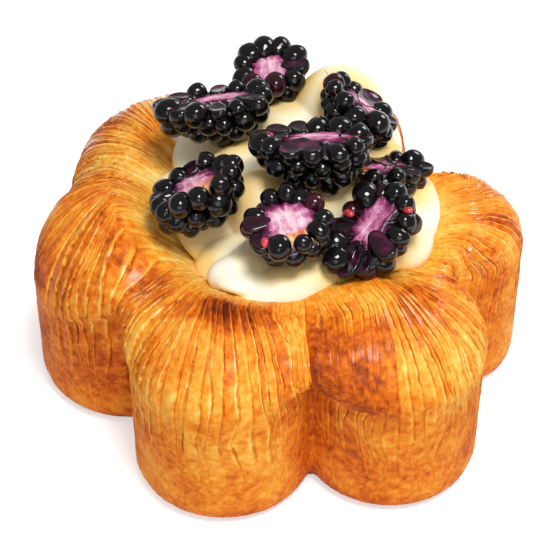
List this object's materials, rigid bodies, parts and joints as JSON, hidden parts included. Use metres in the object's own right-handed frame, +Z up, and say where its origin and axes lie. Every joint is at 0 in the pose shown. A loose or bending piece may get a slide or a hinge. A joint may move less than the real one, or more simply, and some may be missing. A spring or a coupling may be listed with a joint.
{
  "type": "danish pastry",
  "caption": "Flower-shaped laminated pastry with a glazed rolled rim, a mound of piped cream in its middle and halved dark berries on top.",
  "frame": {"origin": "middle of the flat underside, on the axis of the flower", "axes": "+Z up, out of the cream; -Y towards the notch between the two front lobes; +X towards the single lobe on the right"},
  "size_m": [0.1043, 0.1034, 0.0624],
  "materials": {
    "crust": "baked crust, glazed above",
    "cream": "soft satin cream",
    "berry": "wet gloss"
  },
  "bodies": {
    "root": {"pastry": "crust", "cream": "cream", "berry_half_back": "berry", "berry_half_back_left": "berry", "berry_half_left": "berry", "berry_half_back_right": "berry", "berry_half_middle": "berry", "berry_half_right": "berry", "berry_half_front": "berry", "berry_half_front_right": "berry"}
  },
  "joints": []
}
